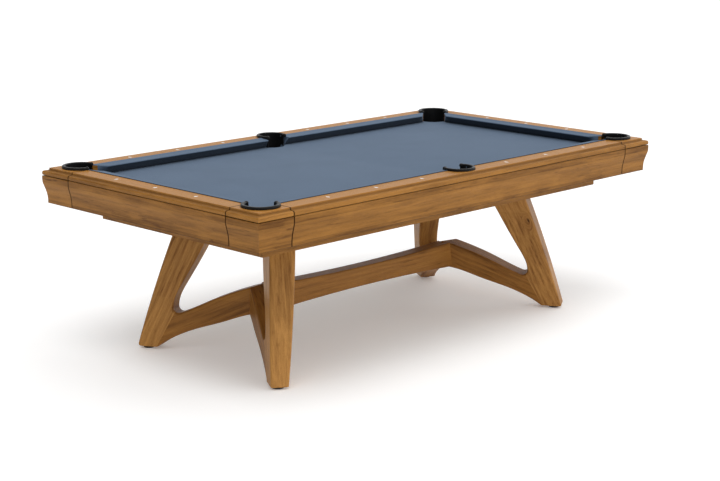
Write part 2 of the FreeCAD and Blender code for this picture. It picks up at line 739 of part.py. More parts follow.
def insert():
    """The threaded sleeve in a foot."""
    outer = rod(INSERT_R, (0, 0, FOOT_BOTTOM), (0, 0, FOOT_BOTTOM + INSERT_L))
    bore = rod(STUD_R + HOLE_PLAY, (0, 0, FOOT_BOTTOM - 1.0), (0, 0, FOOT_BOTTOM + INSERT_L + 1.0))
    solid = outer.cut(bore)
    solid.translate(Vector(FOOT_X, FOOT_Y, 0))
    return solid


def foot_hole():
    """The stepped hole in a foot for the sleeve and the stud above it."""
    wide = rod(INSERT_R, (0, 0, FOOT_BOTTOM - 5.0), (0, 0, FOOT_BOTTOM + INSERT_L))
    narrow = rod(STUD_R + 1.0, (0, 0, FOOT_BOTTOM), (0, 0, LEVEL_ROOM))
    hole = wide.fuse(narrow)
    hole.translate(Vector(FOOT_X, FOOT_Y, 0))
    return hole


def leg_plate():
    """The steel plate between a leg and its bolster."""
    plate = box((178.0, -44.0, LEG_TOP), (328.0, 44.0, FRAME_BOTTOM))
    holes = [rod(BOLT_R + HOLE_PLAY, (s, t, LEG_TOP - 1.0), (s, t, FRAME_BOTTOM + 1.0))
             for s, t in leg_bolt_places()]
    return upright_place(cut_all(plate, holes), LEG_TOP)


def beam_outline():
    """The beam from the side: a shallow waist in the middle."""
    end = BEAM_TRIM_X
    half = end / 2.0
    return face((-end, 188.0),
                [[(-half, 200.7), (0.0, 205.0), (half, 200.7), (end, 188.0)],
                 [(end, 317.0)],
                 [(half, 303.5), (0.0, 299.0), (-half, 303.5), (-end, 317.0)]])


def beam_end_cutter():
    """Everything beyond a strut's inner face, as a flat cut across half the beam's width."""
    cutter = box((300.0, -BEAM_CUT_HALF_T, -400.0), (900.0, 400.0, 400.0))
    cutter.rotate(Vector(0, -BEAM_CUT_HALF_T, 0), Vector(1, 0, 0), BEAM_CUT_LEAN)
    cutter.translate(Vector(0, 0, BEAM_CUT_Z))
    return leg_place(cutter).common(box((0, 0, 0), (BEYOND, BEYOND, BEYOND)))


def stretcher_beam():
    """The long beam, with rounded edges and ends that meet the struts' inner faces."""
    beam = beam_outline().extrude(Vector(0, 2.0 * BEAM_HALF_W, 0))
    beam.translate(Vector(0, -BEAM_HALF_W, 0))
    cutter = beam_end_cutter()
    for signs in CORNERS.values():
        beam = beam.cut(mirrored(cutter, signs))
    return beam.makeFillet(BEAM_ROUND, [edge for edge in beam.Edges if edge.BoundBox.XLength > 1000.0])


def legs_and_beam():
    """Four legs, each an upright and a strut, and the beam between the struts."""
    holes = dowels(1.0) + leg_bolts(HOLE_PLAY) + [foot_hole()]
    upright = leg_slab(upright_outline())
    own_half = box((0, 0, 0), (BEYOND, BEYOND, BEYOND))
    strut = leg_slab(strut_outline()).common(own_half)
    beam_holes = [mirrored(hole, signs) for signs in CORNERS.values() for hole in dowels(1.0)]
    save("stretcher_beam", cut_all(stretcher_beam(), beam_holes))
    for name, signs in CORNERS.items():
        save(f"leg_upright_{name}", mirrored(cut_all(upright, holes), signs))
        save(f"leg_strut_{name}", mirrored(cut_all(strut, holes), signs))
        save(f"leveller_{name}", mirrored(leveller(), signs))


def each_corner(solids):
    """Copy the back right corner's solids into every corner, as one group."""
    return Part.makeCompound([mirrored(solid, signs) for signs in CORNERS.values() for solid in solids])


def main():
    os.makedirs("parts", exist_ok=True)
    screw_holes = slate_screws(HOLE_PLAY)
    bolt_holes = rail_bolt_holes()
    leg_holes = [mirrored(hole, signs) for signs in CORNERS.values() for hole in leg_bolts(HOLE_PLAY)]
    rails_and_aprons(bolt_holes + sight_inlays())
    corners()
    cushions()
    bed(screw_holes + bolt_holes)
    pockets()
    under_frame(screw_holes, leg_holes)
    legs_and_beam()
    save("sights", Part.makeCompound(sight_inlays()))
    save("rail_bolts", Part.makeCompound(rail_bolts()))
    save("slate_screws", Part.makeCompound(slate_screws()))
    save("leg_dowels", each_corner(dowels()))
    save("leg_bolts", each_corner(leg_bolts()))
    save("leg_plates", each_corner([leg_plate()]))
    save("leveller_inserts", each_corner([insert()]))


main()
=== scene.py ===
import math

import bmesh
import bpy
from mathutils import Matrix, Vector


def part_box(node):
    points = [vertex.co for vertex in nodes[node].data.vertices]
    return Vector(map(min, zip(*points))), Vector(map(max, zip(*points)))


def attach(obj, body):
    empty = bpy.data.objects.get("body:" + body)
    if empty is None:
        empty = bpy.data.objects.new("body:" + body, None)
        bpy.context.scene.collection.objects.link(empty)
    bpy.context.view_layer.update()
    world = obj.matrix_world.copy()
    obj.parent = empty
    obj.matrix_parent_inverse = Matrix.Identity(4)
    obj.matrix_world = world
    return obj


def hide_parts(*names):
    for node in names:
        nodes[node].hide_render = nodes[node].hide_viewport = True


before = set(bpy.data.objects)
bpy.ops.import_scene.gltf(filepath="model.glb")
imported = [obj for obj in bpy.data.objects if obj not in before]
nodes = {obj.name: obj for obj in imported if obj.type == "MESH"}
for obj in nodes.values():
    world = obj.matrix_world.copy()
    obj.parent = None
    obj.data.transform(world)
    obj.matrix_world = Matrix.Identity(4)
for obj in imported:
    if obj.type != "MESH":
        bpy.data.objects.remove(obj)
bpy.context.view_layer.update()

# Looks for the pool table: procedural wood, cloth, rubber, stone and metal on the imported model,
# with modelled bed cloth and cushions. Metres, Z up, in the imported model's frame.

BODY = "table"
CORNERS = {"front_left": (-1, -1), "front_right": (1, -1), "back_left": (-1, 1), "back_right": (1, 1)}

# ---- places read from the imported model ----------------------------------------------
NOSE_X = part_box("cushion_right")[0][0]
NOSE_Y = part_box("cushion_back_left")[0][1]
RAIL_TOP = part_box("rail_front")[1][2]
BED_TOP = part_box("bed_cloth")[1][2]
CLOTH_LOW, CLOTH_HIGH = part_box("bed_cloth")
SLATE_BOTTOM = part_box("slate_centre")[0][2]
JOINT_X = (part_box("rail_front")[1][0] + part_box("corner_cap_front_right")[0][0]) / 2.0
JOINT_Y = (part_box("rail_right")[1][1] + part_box("corner_cap_back_right")[0][1]) / 2.0

# ---- sizes that repeat the model's own ------------------------------------------------
NOSE_Z = BED_TOP + 0.0365
# each pocket is (how far its centre lies outside the noses' crossing, the cloth's cut radius)
CORNER_POCKET = (0.053, 0.0686)
SIDE_POCKET = (0.055, 0.0626)
CORNER_MOUTH = 0.090
SIDE_MOUTH = 0.068
CORNER_FACING = 1.28
RUBBER_W = 0.030
SIDE_FACING = 0.25

# ---- legs, as the wood's grain runs in them --------------------------------------------
FOOT = (0.926, 0.433)
BEAM_END_X = 0.665
UPRIGHT_RUN = (0.405, 0.914)
STRUT_RUN = (0.914, 0.405)


# ---- node helpers -----------------------------------------------------------------------
class Shader:
    """A material's node tree, with short calls for the nodes it is built from."""

    def __init__(self, name):
        self.material = bpy.data.materials.new(name)
        self.material.use_nodes = True
        self.tree = self.material.node_tree
        self.tree.nodes.clear()
        self.surface = self.tree.nodes.new("ShaderNodeBsdfPrincipled")
        out = self.tree.nodes.new("ShaderNodeOutputMaterial")
        self.tree.links.new(self.surface.outputs[0], out.inputs["Surface"])

    def put(self, value, socket):
        """Link an output to a socket, or set the socket's own value."""
        if isinstance(value, bpy.types.NodeSocket):
            self.tree.links.new(value, socket)
        else:
            socket.default_value = value

    def node(self, kind, inputs=(), **settings):
        made = self.tree.nodes.new(kind)
        for key, value in settings.items():
            setattr(made, key, value)
        for key, value in dict(inputs).items():
            self.put(value, made.inputs[key])
        return made

    def math(self, operation, a, b=0.0, c=0.0):
        return self.node("ShaderNodeMath", {0: a, 1: b, 2: c}, operation=operation).outputs[0]

    def place(self):
        """Where a point is on the object, in metres."""
        return self.node("ShaderNodeTexCoord").outputs["Object"]

    def split(self, vector):
        made = self.node("ShaderNodeSeparateXYZ", {0: vector})
        return made.outputs[0], made.outputs[1], made.outputs[2]

    def join(self, x, y, z):
        return self.node("ShaderNodeCombineXYZ", {0: x, 1: y, 2: z}).outputs[0]

    def stretch(self, vector, scale):
        return self.node("ShaderNodeMapping", {"Vector": vector, "Scale": scale}).outputs[0]

    def noise(self, vector, scale=1.0, detail=3.0, roughness=0.55, distortion=0.0):
        inputs = {"Vector": vector, "Scale": scale, "Detail": detail, "Roughness": roughness,
                  "Distortion": distortion}
        return self.node("ShaderNodeTexNoise", inputs).outputs["Fac"]

    def ramp(self, value, *stops):
        """Colours by value: each stop is (place, colour)."""
        made = self.node("ShaderNodeValToRGB", {"Fac": value})
        elements = made.color_ramp.elements
        while len(elements) < len(stops):
            elements.new(1.0)
        for element, (place, colour) in zip(elements, stops):
            element.position = place
            element.color = (*colour, 1.0)
        return made.outputs[0]

    def span(self, value, low, high, to_low=0.0, to_high=1.0):
        """Stretch one range of a value onto another, clamped at its ends."""
        inputs = {"Value": value, "From Min": low, "From Max": high, "To Min": to_low, "To Max": to_high}
        return self.node("ShaderNodeMapRange", inputs).outputs[0]

    def blend(self, factor, a, b):
        """One colour mixed into another."""
        made = self.tree.nodes.new("ShaderNodeMix")
        made.data_type = "RGBA"
        for value, name in ((factor, "Factor_Float"), (a, "A_Color"), (b, "B_Color")):
            socket = next(s for s in made.inputs if s.identifier == name)
            if isinstance(value, tuple) and len(value) == 3:
                value = (*value, 1.0)
            self.put(value, socket)
        return next(s for s in made.outputs if s.identifier == "Result_Color")

    def bump(self, height, strength, distance, normal=None):
        inputs = {"Height": height, "Strength": strength, "Distance": distance}
        if normal is not None:
            inputs["Normal"] = normal
        return self.node("ShaderNodeBump", inputs).outputs[0]

    def finish(self, **inputs):
        for key, value in inputs.items():
            name = key.replace("_", " ")
            if isinstance(value, tuple) and len(value) == 3:
                value = (*value, 1.0)
            self.put(value, self.surface.inputs[name])
        return self.material


# ---- wood -------------------------------------------------------------------------------
def along_x(s):
    """Grain along the table's length: along, across and through the board."""
    x, y, z = s.split(s.place())
    return x, y, z


def along_y(s):
    """Grain along the table's width."""
    x, y, z = s.split(s.place())
    return y, x, z


def round_corner(s):
    """Grain along each side's own run, meeting at the mitre."""
    x, y, z = s.split(s.place())
    past_x = s.math("SUBTRACT", s.math("ABSOLUTE", x), NOSE_X)
    past_y = s.math("SUBTRACT", s.math("ABSOLUTE", y), NOSE_Y)
    on_end = s.math("GREATER_THAN", past_x, past_y)
    on_side = s.math("SUBTRACT", 1.0, on_end)
    run = s.math("ADD", s.math("MULTIPLY", y, on_end), s.math("MULTIPLY", x, on_side))
    out = s.math("ADD", s.math("MULTIPLY", x, on_end), s.math("MULTIPLY", y, on_side))
    run = s.math("ADD", run, s.math("MULTIPLY", on_end, 3.7))
    return run, out, z


def in_leg(direction):
    """Grain along a line in a leg's own plane, given as (towards the beam, up)."""
    def coordinates(s):
        x, y, z = s.split(s.place())
        dx = BEAM_END_X - FOOT[0]
        dy = -FOOT[1]
        size = math.hypot(dx, dy)
        from_x = s.math("SUBTRACT", s.math("ABSOLUTE", x), FOOT[0])
        from_y = s.math("SUBTRACT", s.math("ABSOLUTE", y), FOOT[1])
        inward = s.math("ADD", s.math("MULTIPLY", from_x, dx / size),
                        s.math("MULTIPLY", from_y, dy / size))
        through = s.math("SUBTRACT", s.math("MULTIPLY", from_x, dy / size),
                         s.math("MULTIPLY", from_y, dx / size))
        along = s.math("ADD", s.math("MULTIPLY", inward, direction[0]),
                       s.math("MULTIPLY", z, direction[1]))
        across = s.math("SUBTRACT", s.math("MULTIPLY", inward, direction[1]),
                        s.math("MULTIPLY", z, direction[0]))
        apart = s.math("ADD", s.math("MULTIPLY", s.math("SIGN", x), 2.3),
                       s.math("MULTIPLY", s.math("SIGN", y), 1.1))
        return s.math("ADD", along, apart), across, through
    return coordinates


def board_tone_and_painted_light(s, z, lines):
    """Tone by height: the boards glued one on another on the aprons, and painted light on the rails' top
    face and upper moulding: each line is (height, tone above it).
    """
    tone = lines[0][1]
    total = None
    for (height, above), (_, below) in zip(lines[1:], lines[:-1]):
        step = s.math("MULTIPLY", s.span(z, height - 0.0006, height + 0.0006), above - below)
        total = step if total is None else s.math("ADD", total, step)
    return s.math("ADD", total, tone)


def dark_lines(s, z, lines):
    """How dark the level lines are, thin glue lines between boards and painted shade lines in the moulding's
    recesses alike: each is (height, half width, strength).
    """
    total = 0.0
    for height, half_width, strength in lines:
        off = s.math("ABSOLUTE", s.math("SUBTRACT", z, height))
        total = s.math("MAXIMUM", total, s.span(off, half_width * 0.45, half_width, strength, 0.0))
    return total


def painted_joint_shade(s):
    """How dark the painted shade is on the wood beside the open joints at the corner pieces."""
    x, y, _ = s.split(s.place())
    off_x = s.math("ABSOLUTE", s.math("SUBTRACT", s.math("ABSOLUTE", x), JOINT_X))
    off_y = s.math("ABSOLUTE", s.math("SUBTRACT", s.math("ABSOLUTE", y), JOINT_Y))
    return s.span(s.math("MINIMUM", off_x, off_y), 0.0027, 0.0042, 0.82, 0.0)


def knot(s, along, across, spot, size):
    """Rings round a knot, and how near a point is to its heart."""
    du = s.math("DIVIDE", s.math("SUBTRACT", along, spot[0]), size * 2.2)
    dv = s.math("DIVIDE", s.math("SUBTRACT", across, spot[1]), size)
    away = s.math("SQRT", s.math("ADD", s.math("MULTIPLY", du, du), s.math("MULTIPLY", dv, dv)))
    return s.span(away, 0.35, 1.0, 1.0, 0.0), s.span(away, 0.8, 4.0, 1.0, 0.0)


def wood(name, coordinates, light, dark, seed, tones_by_height=(), lines=(), knots=(), strips=0.0, wave=0.10,
         fine=62.0):
    """Oiled hardwood: growth bands, streaks, fibres and pores drawn out along the grain."""
    s = Shader(name)
    along, across, through = coordinates(s)
    own = s.node("ShaderNodeObjectInfo").outputs["Random"]
    shift = s.math("MULTIPLY_ADD", own, 7.0, seed)
    along = s.math("ADD", along, shift)
    z = s.split(s.place())[2]
    bend = s.noise(s.join(s.math("MULTIPLY", along, 0.9), across, through), 2.2, 2.0)
    bent = s.math("MULTIPLY_ADD", bend, wave, across)
    hearts = None
    for spot, size in knots:
        heart, near = knot(s, s.math("SUBTRACT", along, shift), across, spot, size)
        bent = s.math("MULTIPLY_ADD", near, 0.05, bent)
        hearts = heart if hearts is None else s.math("MAXIMUM", hearts, heart)
    grain = s.join(along, bent, through)
    broad = s.noise(s.stretch(grain, (0.7, 5.0, 5.0)), 1.0, 2.0)
    band_place = s.math("MULTIPLY_ADD", s.noise(s.stretch(grain, (1.1, 9.0, 9.0)), 1.0, 2.0), 2.4,
                        s.math("MULTIPLY", bent, 34.0))
    bands = s.math("PINGPONG", band_place, 0.5)
    bands = s.math("MULTIPLY", bands, 2.0)
    streaks = s.noise(s.stretch(grain, (2.6, fine, fine)), 1.0, 4.0, 0.6)
    fibres = s.noise(s.stretch(grain, (14.0, 420.0, 420.0)), 1.0, 3.0, 0.65)
    pores = s.noise(s.stretch(grain, (46.0, 1300.0, 1300.0)), 1.0, 1.0, 0.5)
    pores = s.span(pores, 0.60, 0.70)
    flecks = s.span(s.noise(s.stretch(grain, (9.0, 90.0, 90.0)), 1.0, 2.0, 0.6), 0.60, 0.74)
    value = s.math("MULTIPLY", broad, 0.55)
    value = s.math("MULTIPLY_ADD", bands, 0.16, value)
    value = s.math("MULTIPLY_ADD", streaks, 1.0, value)
    value = s.math("MULTIPLY_ADD", fibres, 0.30, value)
    value = s.math("MULTIPLY_ADD", flecks, -0.22, value)
    value = s.math("SUBTRACT", value, 0.54)
    # Tone by height: board tones on the aprons, and painted light on the rails' top face and upper moulding.
    if tones_by_height:
        value = s.math("ADD", value, board_tone_and_painted_light(s, z, tones_by_height))
    if strips:
        strip = s.math("FLOOR", s.math("DIVIDE", through, strips))
        chance = s.node("ShaderNodeTexWhiteNoise", {"W": s.math("ADD", strip, own)}, noise_dimensions="1D")
        tone = chance.outputs[0]
        value = s.math("MULTIPLY_ADD", s.math("SUBTRACT", tone, 0.5), 0.16, value)
    middle = tuple((a * 1.15 + b * 0.85) / 2.0 for a, b in zip(light, dark))
    palest = tuple(c * 1.22 for c in light)
    colour = s.ramp(value, (0.12, dark), (0.42, middle), (0.70, light), (0.98, palest))
    colour = s.blend(s.math("MULTIPLY", pores, 0.35), colour, tuple(c * 0.35 for c in dark))
    if hearts is not None:
        colour = s.blend(s.math("MULTIPLY", hearts, 0.85), colour, tuple(c * 0.22 for c in dark))
    # Painted shade: the moulding's recess lines and the wood beside the open joints are darkened, together
    # with the boards' glue lines.
    if lines:
        depth = s.math("MAXIMUM", dark_lines(s, z, lines), painted_joint_shade(s))
        colour = s.blend(depth, colour, tuple(c * 0.40 for c in dark))
    rough = s.span(fibres, 0.3, 0.7, 0.46, 0.34)
    rough = s.math("MULTIPLY_ADD", pores, 0.12, rough)
    height = s.math("MULTIPLY_ADD", pores, -0.8, s.math("MULTIPLY", fibres, 0.5))
    normal = s.bump(height, 0.35, 0.00035)
    normal = s.bump(streaks, 0.12, 0.0012, normal)
    return s.finish(Base_Color=colour, Roughness=rough, Normal=normal, Specular_IOR_Level=0.11,
                    Coat_Weight=0.03, Coat_Roughness=0.30)


# ---- other materials ----------------------------------------------------------------------
THREAD_PITCH = 0.0011
STUD_PITCH = 0.0015


def cloth(name, colour):
    """Fine worsted wool: two thread directions, a short nap, faint broad patches of tone, and painted shade
    on faces that look down and on the steep cloth at the tuck.
    """
    s = Shader(name)
    x, y, z = s.split(s.place())
    pitch = 2.0 * math.pi / THREAD_PITCH
    warp = s.math("SINE", s.math("MULTIPLY", s.math("ADD", x, s.math("MULTIPLY", z, 0.7)), pitch))
    weft = s.math("SINE", s.math("MULTIPLY", s.math("ADD", y, s.math("MULTIPLY", z, 0.7)), pitch))
    weave = s.math("MULTIPLY", warp, weft)
    nap = s.noise(s.stretch(s.place(), (1.0, 0.6, 1.0)), 1700.0, 2.0, 0.7)
    patches = s.noise(s.place(), 5.0, 3.0)
    faint = s.noise(s.stretch(s.place(), (1.0, 6.0, 1.0)), 22.0, 3.0)
    value = s.math("MULTIPLY_ADD", weave, 0.10, s.math("MULTIPLY", nap, 0.55))
    value = s.math("MULTIPLY_ADD", patches, 0.28, value)
    value = s.math("MULTIPLY_ADD", faint, 0.14, value)
    tone = s.ramp(value, (0.2, tuple(c * 0.80 for c in colour)), (0.5, colour),
                  (0.8, tuple(c * 1.16 for c in colour)))
    # Painted shade: faces that look down, such as the cushions' undersides, are darkened to near black.
    facing = s.split(s.node("ShaderNodeNewGeometry").outputs["Normal"])[2]
    tone = s.blend(s.span(facing, -0.45, -0.15, 0.82, 0.0), tone, tuple(c * 0.12 for c in colour))
    # Painted shade: the steep cloth at the tuck above the rail top is darkened, as it lies in shade under
    # light from above.
    painted_tuck_shade = s.math("MULTIPLY", s.span(facing, 0.55, 0.80, 0.86, 0.0), s.span(z, RAIL_TOP - 0.0005, RAIL_TOP))
    tone = s.blend(painted_tuck_shade, tone, tuple(c * 0.12 for c in colour))
    height = s.math("MULTIPLY_ADD", weave, 0.35, nap)
    return s.finish(Base_Color=tone, Roughness=0.88, Normal=s.bump(height, 0.5, 0.00025),
                    Sheen_Weight=0.08, Sheen_Roughness=0.5, Sheen_Tint=(0.72, 0.80, 0.90),
                    Specular_IOR_Level=0.12)


def rubber(name, colour, rough):
    """Moulded rubber with a fine cast grain, rubbed smoother in patches."""
    grain = 900.0
    depth = 0.00018
    s = Shader(name)
    cells = s.node("ShaderNodeTexVoronoi", {"Vector": s.place(), "Scale": grain}).outputs["Distance"]
    fine = s.noise(s.place(), grain * 1.7, 2.0, 0.6)
    rubbed = s.noise(s.place(), 26.0, 4.0, 0.6)
    dust = s.noise(s.place(), 160.0, 3.0, 0.7)
    tone = s.blend(s.span(dust, 0.55, 0.80, 0.0, 0.35), colour, tuple(c * 1.6 + 0.003 for c in colour))
    roughness = s.span(rubbed, 0.3, 0.7, rough - 0.08, rough + 0.10)
    height = s.math("MULTIPLY_ADD", fine, 0.4, cells)
    return s.finish(Base_Color=tone, Roughness=roughness, Normal=s.bump(height, 0.35, depth),
                    Specular_IOR_Level=0.13)


def pearl(name):
    """The inlaid sights: pearly diamonds with soft clouds and a polished top."""
    s = Shader(name)
    clouds = s.noise(s.place(), 160.0, 4.0, 0.6, 1.2)
    flakes = s.node("ShaderNodeTexVoronoi", {"Vector": s.place(), "Scale": 420.0}).outputs["Distance"]
    value = s.math("MULTIPLY_ADD", flakes, 0.3, clouds)
    tone = s.ramp(value, (0.25, (0.74, 0.74, 0.73)), (0.55, (0.90, 0.90, 0.88)), (0.85, (0.96, 0.96, 0.95)))
    return s.finish(Base_Color=tone, Roughness=s.span(clouds, 0.3, 0.7, 0.12, 0.24),
                    Normal=s.bump(clouds, 0.05, 0.0002), Coat_Weight=0.5, Coat_Roughness=0.08)


def stone(name):
    """Honed slate: faint layers, pale specks and a few thin veins."""
    s = Shader(name)
    layers = s.noise(s.stretch(s.place(), (1.0, 1.0, 40.0)), 9.0, 5.0, 0.6)
    specks = s.noise(s.place(), 700.0, 2.0)
    veins = s.math("ABSOLUTE", s.math("SUBTRACT", s.noise(s.place(), 4.0, 5.0, 0.6, 1.5), 0.5))
    value = s.math("MULTIPLY_ADD", specks, 0.35, s.math("MULTIPLY", layers, 0.65))
    tone = s.ramp(value, (0.25, (0.05, 0.055, 0.062)), (0.6, (0.085, 0.092, 0.10)),
                  (0.9, (0.13, 0.135, 0.14)))
    tone = s.blend(s.span(veins, 0.0, 0.012, 0.4, 0.0), tone, (0.2, 0.2, 0.2))
    return s.finish(Base_Color=tone, Roughness=s.span(specks, 0.3, 0.7, 0.45, 0.62),
                    Normal=s.bump(value, 0.25, 0.0006))


def chipboard(name):
    """A pressed board of wood chips, pale with darker flakes."""
    s = Shader(name)
    lying = s.stretch(s.place(), (1.0, 0.45, 2.5))
    flakes = s.node("ShaderNodeTexVoronoi", {"Vector": lying, "Scale": 260.0})
    chips = s.split(flakes.outputs["Color"])[0]
    fine = s.noise(s.place(), 600.0, 3.0)
    value = s.math("MULTIPLY_ADD", chips, 0.6, s.math("MULTIPLY", fine, 0.4))
    tone = s.ramp(value, (0.15, (0.17, 0.11, 0.06)), (0.5, (0.34, 0.245, 0.15)), (0.9, (0.46, 0.36, 0.24)))
    return s.finish(Base_Color=tone, Roughness=s.span(fine, 0.3, 0.7, 0.7, 0.9),
                    Normal=s.bump(value, 0.3, 0.0005))


def metal(name, colour, rough):
    """Plated metal with drawn lines and a few dull spots."""
    s = Shader(name)
    lines = s.noise(s.stretch(s.place(), (1.0, 1.0, 0.08)), 1500.0, 2.0)
    dull = s.noise(s.place(), 90.0, 3.0, 0.6)
    tone = s.blend(s.span(dull, 0.5, 0.75, 0.0, 0.5), colour, tuple(c * 0.55 for c in colour))
    roughness = s.math("ADD", s.span(lines, 0.3, 0.7, rough - 0.06, rough + 0.06),
                       s.span(dull, 0.5, 0.8, 0.0, 0.2))
    return s.finish(Base_Color=tone, Roughness=roughness, Normal=s.bump(lines, 0.1, 0.0001), Metallic=1.0)


def foot_material(name, pad_top):
    """The levelling foot: a dark moulded pad below, a plated stud above."""
    s = Shader(name)
    place = s.place()
    z = s.split(place)[2]
    stud = s.math("GREATER_THAN", z, pad_top)
    thread = s.math("SINE", s.math("MULTIPLY", z, 2.0 * math.pi / STUD_PITCH))
    grain = s.noise(place, 1400.0, 2.0)
    wear = s.noise(place, 140.0, 3.0)
    dark = s.ramp(wear, (0.3, (0.010, 0.010, 0.011)), (0.8, (0.032, 0.031, 0.030)))
    bright = s.ramp(wear, (0.3, (0.50, 0.50, 0.49)), (0.8, (0.33, 0.33, 0.33)))
    height = s.math("MULTIPLY_ADD", thread, stud, grain)
    roughness = s.math("SUBTRACT", s.span(wear, 0.3, 0.7, 0.55, 0.7), s.math("MULTIPLY", stud, 0.25))
    return s.finish(Base_Color=s.blend(stud, dark, bright), Metallic=stud, Roughness=roughness,
                    Normal=s.bump(height, 0.4, 0.0004))


# ---- mesh helpers -------------------------------------------------------------------------
def mesh_object(name, verts, faces, material, smooth_under):
    """A mesh piece that rides on the table; edges sharper than the given angle stay sharp."""
    bm = bmesh.new()
    points = [bm.verts.new(v) for v in verts]
    for face in faces:
        bm.faces.new([points[i] for i in face])
    bmesh.ops.remove_doubles(bm, verts=bm.verts, dist=1e-6)
    bmesh.ops.recalc_face_normals(bm, faces=bm.faces)
    bm.normal_update()
    for face in bm.faces:
        face.smooth = True
    for edge in bm.edges:
        if len(edge.link_faces) == 2 and edge.calc_face_angle() > math.radians(smooth_under):
            edge.smooth = False
    mesh = bpy.data.meshes.new(name)
    bm.to_mesh(mesh)
    bm.free()
    mesh.materials.append(material)
    piece = bpy.data.objects.new(name, mesh)
    bpy.context.scene.collection.objects.link(piece)
    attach(piece, BODY)
    return piece


def dress(material, *names):
    """Give CAD nodes a finished material."""
    for name in names:
        mesh = nodes[name].data
        if not mesh.materials:
            mesh.materials.append(material)
        for slot in nodes[name].material_slots:
            slot.material = material


# ---- materials in place ---------------------------------------------------------------------
LIGHT = (0.330, 0.146, 0.028)
DARK = (0.114, 0.043, 0.006)
LEG_LIGHT = (0.490, 0.242, 0.066)
LEG_DARK = (0.185, 0.074, 0.016)
STRUT_LIGHT = (0.350, 0.156, 0.034)
STRUT_DARK = (0.135, 0.051, 0.010)
# Painted light on the rails and corner caps: the upper moulding from 13 mm below the top is a little
# lighter, and the top face much lighter, as light falls on them from above; each is (height, tone above it).
RAIL_PAINTED_LIGHT_TONES = ((0.0, 0.06), (RAIL_TOP - 0.0130, 0.18), (RAIL_TOP - 0.0005, 0.52))
# Painted shade in the rails' recesses: dark lines in the cove under the top step and under the bullnose;
# each is (height, half width, strength).
RAIL_PAINTED_SHADE_LINES = ((RAIL_TOP - 0.0086, 0.0040, 0.50), (RAIL_TOP - 0.0320, 0.0030, 0.30))
LOW_BOARD_TOP = 0.6930
HIGH_BOARD = RAIL_TOP - 0.060
APRON_BOARDS = ((0.0, -0.08), (LOW_BOARD_TOP, 0.04), (HIGH_BOARD, -0.10))
# Thin dark glue lines at the two board joints, a broad dark line lower down at 0.6785 m, and a broad painted
# shade line under the bullnose; each is (height, half width, strength).
APRON_GLUE_AND_SHADE_LINES = ((LOW_BOARD_TOP, 0.0008, 0.45), (HIGH_BOARD, 0.0010, 0.45), (0.6785, 0.0040, 0.45),
               (RAIL_TOP - 0.0335, 0.0030, 0.32))
UPRIGHT_KNOTS = (((1.66, -0.07), 0.007),)
LEG_STRIP = 0.026
LEG_FINE = 95.0
WOOL = (0.099, 0.141, 0.205)
FOOT_PAD_TOP = 0.0072

rail_x = wood("rail_wood_long", along_x, LIGHT, DARK, 0.3, RAIL_PAINTED_LIGHT_TONES, RAIL_PAINTED_SHADE_LINES)
rail_y = wood("rail_wood_end", along_y, LIGHT, DARK, 5.1, RAIL_PAINTED_LIGHT_TONES, RAIL_PAINTED_SHADE_LINES)
cap_wood = wood("corner_cap_wood", round_corner, LIGHT, DARK, 9.4, RAIL_PAINTED_LIGHT_TONES, RAIL_PAINTED_SHADE_LINES)
apron_x = wood("apron_wood_long", along_x, LIGHT, DARK, 2.2, APRON_BOARDS, APRON_GLUE_AND_SHADE_LINES)
apron_y = wood("apron_wood_end", along_y, LIGHT, DARK, 7.7, APRON_BOARDS, APRON_GLUE_AND_SHADE_LINES)
corner_wood = wood("corner_apron_wood", round_corner, LIGHT, DARK, 12.9, APRON_BOARDS, APRON_GLUE_AND_SHADE_LINES)
upright_wood = wood("upright_wood", in_leg(UPRIGHT_RUN), LEG_LIGHT, LEG_DARK, 1.4, knots=UPRIGHT_KNOTS,
                    strips=LEG_STRIP, wave=0.03, fine=LEG_FINE)
strut_wood = wood("strut_wood", in_leg(STRUT_RUN), STRUT_LIGHT, STRUT_DARK, 3.8, strips=LEG_STRIP,
                  wave=0.03, fine=LEG_FINE)
beam_wood = wood("beam_wood", along_x, STRUT_LIGHT, STRUT_DARK, 6.2, wave=0.04, fine=LEG_FINE)
frame_wood_x = wood("frame_wood_long", along_x, LIGHT, DARK, 8.8)
frame_wood_y = wood("frame_wood_end", along_y, LIGHT, DARK, 10.3)
dowel_wood = wood("dowel_wood", along_x, (0.55, 0.40, 0.23), (0.36, 0.24, 0.13), 4.4)

bed_wool = cloth("bed_wool", WOOL)
cushion_wool = cloth("cushion_wool", WOOL)
pocket_rubber = rubber("pocket_rubber", (0.006, 0.006, 0.0065), 0.34)

dress(rail_x, "rail_front", "rail_back")
dress(rail_y, "rail_left", "rail_right")
dress(apron_x, "apron_front", "apron_back")
dress(apron_y, "apron_left", "apron_right")
for corner in CORNERS:
    dress(cap_wood, "corner_cap_" + corner)
    dress(corner_wood, "corner_apron_" + corner)
    dress(upright_wood, "leg_upright_" + corner)
    dress(strut_wood, "leg_strut_" + corner)
    dress(foot_material("foot_" + corner, FOOT_PAD_TOP), "leveller_" + corner)
    dress(pocket_rubber, "pocket_" + corner)
dress(pocket_rubber, "pocket_front_centre", "pocket_back_centre")
dress(beam_wood, "stretcher_beam")
dress(frame_wood_x, "frame_board_front", "frame_board_back")
dress(frame_wood_y, "frame_board_left", "frame_board_right", "leg_bolster_left", "leg_bolster_right",
      "cross_member")
dress(dowel_wood, "leg_dowels")
dress(chipboard("sub_bed_board"), "slate_platform")
dress(stone("honed_slate"), "slate_left", "slate_centre", "slate_right")
dress(pearl("pearl_sight"), "sights")
dress(metal("zinc_plate", (0.56, 0.56, 0.55), 0.38), "rail_bolts", "slate_screws", "leg_bolts", "leg_plates")
dress(metal("brass_insert", (0.66, 0.50, 0.24), 0.36), "leveller_inserts")


